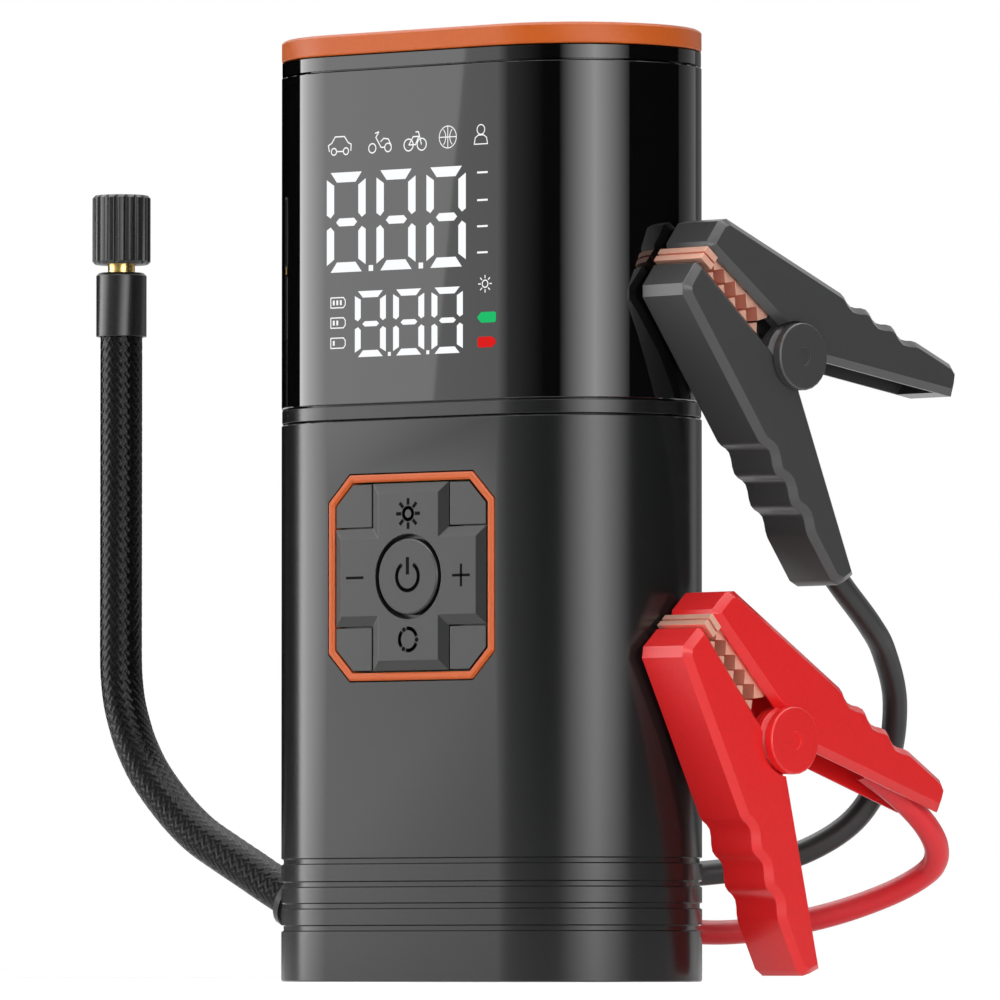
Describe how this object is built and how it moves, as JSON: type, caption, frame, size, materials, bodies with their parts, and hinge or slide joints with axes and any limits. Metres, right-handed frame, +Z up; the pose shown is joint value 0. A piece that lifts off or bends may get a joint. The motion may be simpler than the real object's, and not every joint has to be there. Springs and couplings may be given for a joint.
{
  "type": "jump starter pack",
  "caption": "Upright car jump starter with a lit display, a cross keypad, a braided tyre-pump hose and a pair of toothed battery clamps on short leads.",
  "frame": {"origin": "middle of the casing's base, on the surface it stands on", "axes": "+Z up the casing, the display and keypad face -Y, the hose is at -X and the clamps at +X"},
  "size_m": [0.1802, 0.1022, 0.197],
  "materials": {
    "grey_plastic": "satin",
    "gloss_black": "gloss",
    "dark_plastic": "matt",
    "orange_plastic": "satin",
    "clear_plastic": "clear",
    "black_clamp_plastic": "satin",
    "red_clamp_plastic": "satin",
    "black_lead_rubber": "matt",
    "red_lead_rubber": "matt",
    "hose_braid": "braided",
    "copper": "bright",
    "brass": "bright",
    "steel": "brushed",
    "board_green": "satin",
    "cell_foil": "satin"
  },
  "bodies": {
    "body": {"lower_shell": "grey_plastic", "base_cap": "grey_plastic", "mid_band": "grey_plastic", "top_ring": "gloss_black", "top_cap": "orange_plastic", "upper_shell": "gloss_black", "usb_a_socket": "steel", "usb_c_socket": "steel", "lamp_lens": "clear_plastic", "keypad_bezel": "orange_plastic", "keypad_plate": "grey_plastic", "key_board": "board_green", "main_board": "board_green", "display_board": "board_green", "pump_motor": "steel", "pump_cylinder": "steel", "pump_frame": "steel", "air_tube": "dark_plastic", "hose_gland": "dark_plastic", "hose": "hose_braid", "hose_ferrule": "dark_plastic", "chuck_stem": "brass", "chuck_seal": "dark_plastic", "base_screw_1": "steel", "base_screw_2": "steel", "base_screw_3": "steel", "base_screw_4": "steel", "battery_cell_1": "cell_foil", "battery_cell_2": "cell_foil", "battery_cell_3": "cell_foil", "black_lead_gland": "dark_plastic", "black_lead": "black_lead_rubber", "black_clamp_fixed_half": "black_clamp_plastic", "black_fixed_jaw": "copper", "black_clamp_rivet": "black_clamp_plastic", "black_clamp_spring": "steel", "red_lead_gland": "dark_plastic", "red_lead": "red_lead_rubber", "red_clamp_fixed_half": "red_clamp_plastic", "red_fixed_jaw": "copper", "red_clamp_rivet": "red_clamp_plastic", "red_clamp_spring": "steel"},
    "red_clamp_moving": {"red_clamp_moving_half": "red_clamp_plastic", "red_moving_jaw": "copper"},
    "black_clamp_moving": {"black_clamp_moving_half": "black_clamp_plastic", "black_moving_jaw": "copper"},
    "key_pivot": {"key_pivot_ring": "dark_plastic"},
    "cross_key": {"cross_key": "grey_plastic"},
    "power_button": {"power_button": "grey_plastic"},
    "chuck_collar": {"chuck_collar": "dark_plastic"},
    "crank": {"crank_wheel": "steel"},
    "rod": {"connecting_rod": "steel"},
    "piston": {"piston": "steel"}
  },
  "joints": [
    {"name": "red_clamp_open", "type": "hinge", "parent": "body", "child": "red_clamp_moving", "pos_m": [0.05907, 0.01622, 0.0496], "axis": [0.9925, -0.1219, 0], "range_deg": [0, 32], "stiffness_Nm_per_rad": 0.4, "springref_deg": -34.38, "deforming": ["red_clamp_spring"]},
    {"name": "black_clamp_open", "type": "hinge", "parent": "body", "child": "black_clamp_moving", "pos_m": [0.05938, 0.0188, 0.1287], "axis": [-0.9925, 0.1219, 0], "range_deg": [0, 32], "stiffness_Nm_per_rad": 0.4, "springref_deg": -34.38, "deforming": ["black_clamp_spring"]},
    {"name": "key_rock_sideways", "type": "hinge", "parent": "body", "child": "key_pivot", "pos_m": [0, -0.0249, 0.08365], "axis": [0, 0, 1], "range_deg": [-1.2, 1.2], "stiffness_Nm_per_rad": 0.3},
    {"name": "key_rock_upright", "type": "hinge", "parent": "key_pivot", "child": "cross_key", "pos_m": [0, -0.0249, 0.08365], "axis": [1, 0, 0], "range_deg": [-1.2, 1.2], "stiffness_Nm_per_rad": 0.3},
    {"name": "power_button_press", "type": "slide", "parent": "body", "child": "power_button", "axis": [0, 1, 0], "range_m": [0, 0.00035], "stiffness_N_per_m": 800, "springref_m": -0.0005},
    {"name": "chuck_spin", "type": "hinge", "parent": "body", "child": "chuck_collar", "pos_m": [-0.1017, 0, 0.1607], "axis": [0, 0, 1], "continuous": true},
    {"name": "crank_spin", "type": "hinge", "parent": "body", "child": "crank", "pos_m": [0.022, -0.0038, 0.15448], "axis": [0, 1, 0], "continuous": true},
    {"name": "rod_pivot", "type": "hinge", "parent": "crank", "child": "rod", "pos_m": [0.018, -0.0074, 0.15448], "axis": [0, 1, 0], "continuous": true},
    {"name": "piston_slide", "type": "slide", "parent": "body", "child": "piston", "axis": [1, 0, 0], "range_m": [0, 0.008]}
  ],
  "couplings": [
    {"joint": "rod_pivot", "follows": "crank_spin", "ratio": -1}
  ]
}
